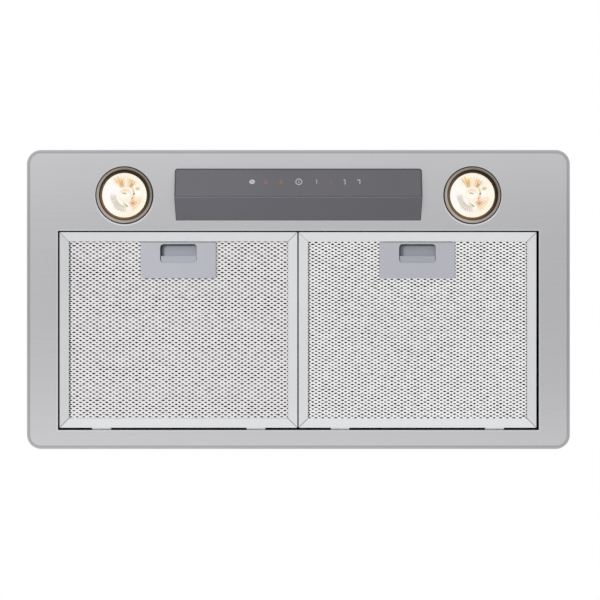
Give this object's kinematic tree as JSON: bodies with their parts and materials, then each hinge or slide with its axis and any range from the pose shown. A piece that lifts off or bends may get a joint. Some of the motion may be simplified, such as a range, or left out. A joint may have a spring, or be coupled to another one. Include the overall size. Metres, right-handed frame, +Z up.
{
  "type": "range hood insert",
  "caption": "Built-in range hood insert: steel face plate with mesh grease filters, lamps and touch control, housing with blower and duct collar.",
  "frame": {"origin": "centre of the cabinet's underside, the plane on which the face plate's rim seats", "axes": "+X to the right along the width, -Y to the front (the control's side), +Z up into the cabinet towards the duct collar"},
  "size_m": [0.5274, 0.2906, 0.2814],
  "materials": {
    "stainless": "brushed",
    "galvanised": "satin",
    "screw_steel": "satin",
    "duct_plastic": "matte",
    "motor_paint": "satin",
    "laminations": "satin",
    "rubber": "matte",
    "capacitor_can": "satin",
    "white_plastic": "matte",
    "circuit_board": "satin",
    "grey_plastic": "matte",
    "touch_panel": "satin",
    "wheel_plastic": "matte",
    "lamp_metal": "satin",
    "holder_ceramic": "matte",
    "lamp_glass": "glossy",
    "aluminium_frame": "satin",
    "aluminium_mesh": "satin",
    "latch_plastic": "satin"
  },
  "bodies": {
    "root": {"face_plate": "stainless", "housing_front": "galvanised", "housing_rear": "galvanised", "housing_roof": "galvanised", "housing_end_left": "galvanised", "housing_end_right": "galvanised", "housing_screws": "screw_steel", "duct_collar": "duct_plastic", "collar_screws": "screw_steel", "damper_pins": "screw_steel", "scroll_strip": "galvanised", "scroll_side_left": "galvanised", "scroll_side_right": "galvanised", "inlet_ring_left": "duct_plastic", "inlet_ring_right": "duct_plastic", "motor_case": "motor_paint", "motor_stator": "laminations", "motor_bearings": "screw_steel", "motor_bracket": "galvanised", "motor_mounts": "rubber", "motor_screws": "screw_steel", "capacitor": "capacitor_can", "capacitor_clip": "galvanised", "terminal_box": "white_plastic", "terminal_cover": "white_plastic", "power_board": "circuit_board", "cable_gland": "duct_plastic", "lamp_ring_left": "lamp_metal", "lamp_ring_right": "lamp_metal", "lamp_holder_left": "holder_ceramic", "lamp_holder_right": "holder_ceramic", "lamp_bracket_left": "galvanised", "lamp_bracket_right": "galvanised", "control_body": "grey_plastic", "control_panel": "touch_panel", "control_board": "circuit_board", "control_screws": "screw_steel"},
    "filter_left": {"filter_frame_left": "aluminium_frame", "filter_mesh_left": "aluminium_mesh", "filter_core_left": "aluminium_mesh", "filter_tabs_left": "aluminium_frame", "latch_case_left": "latch_plastic", "latch_spring_left": "screw_steel"},
    "latch_left": {"latch_slider_left": "latch_plastic"},
    "damper_left": {"damper_flap_left": "duct_plastic"},
    "lamp_left": {"lamp_left": "lamp_glass"},
    "filter_right": {"filter_frame_right": "aluminium_frame", "filter_mesh_right": "aluminium_mesh", "filter_core_right": "aluminium_mesh", "filter_tabs_right": "aluminium_frame", "latch_case_right": "latch_plastic", "latch_spring_right": "screw_steel"},
    "latch_right": {"latch_slider_right": "latch_plastic"},
    "damper_right": {"damper_flap_right": "duct_plastic"},
    "lamp_right": {"lamp_right": "lamp_glass"},
    "blower_wheel": {"impeller": "wheel_plastic", "impeller_nut": "screw_steel", "motor_shaft": "screw_steel", "motor_rotor": "laminations"}
  },
  "joints": [
    {"name": "filter_left_swing", "type": "hinge", "parent": "root", "child": "filter_left", "pos_m": [-0.11625, 0.1254, -0.0056], "axis": [1, 0, 0], "range_deg": [0, 75]},
    {"name": "latch_left_slide", "type": "slide", "parent": "filter_left", "child": "latch_left", "axis": [0, 1, 0], "range_m": [0, 0.004], "stiffness_N_per_m": 300, "springref_m": -0.004, "deforming": ["latch_spring_left"]},
    {"name": "filter_right_swing", "type": "hinge", "parent": "root", "child": "filter_right", "pos_m": [0.11545, 0.1254, -0.0056], "axis": [1, 0, 0], "range_deg": [0, 75]},
    {"name": "latch_right_slide", "type": "slide", "parent": "filter_right", "child": "latch_right", "axis": [0, 1, 0], "range_m": [0, 0.004], "stiffness_N_per_m": 300, "springref_m": -0.004, "deforming": ["latch_spring_right"]},
    {"name": "wheel_spin", "type": "hinge", "parent": "root", "child": "blower_wheel", "pos_m": [0, -0.02, 0.118], "axis": [1, 0, 0], "continuous": true},
    {"name": "damper_left_lift", "type": "hinge", "parent": "root", "child": "damper_left", "pos_m": [-0.005, 0.023, 0.2268], "axis": [0, 1, 0], "range_deg": [0, 80]},
    {"name": "damper_right_lift", "type": "hinge", "parent": "root", "child": "damper_right", "pos_m": [0.005, 0.023, 0.2268], "axis": [0, -1, 0], "range_deg": [0, 80]},
    {"name": "lamp_left_turn", "type": "hinge", "parent": "root", "child": "lamp_left", "pos_m": [-0.1686, -0.101, 0], "axis": [0, 0, 1], "range_deg": [0, 25]},
    {"name": "lamp_right_turn", "type": "hinge", "parent": "root", "child": "lamp_right", "pos_m": [0.1686, -0.101, 0], "axis": [0, 0, 1], "range_deg": [0, 25]}
  ]
}
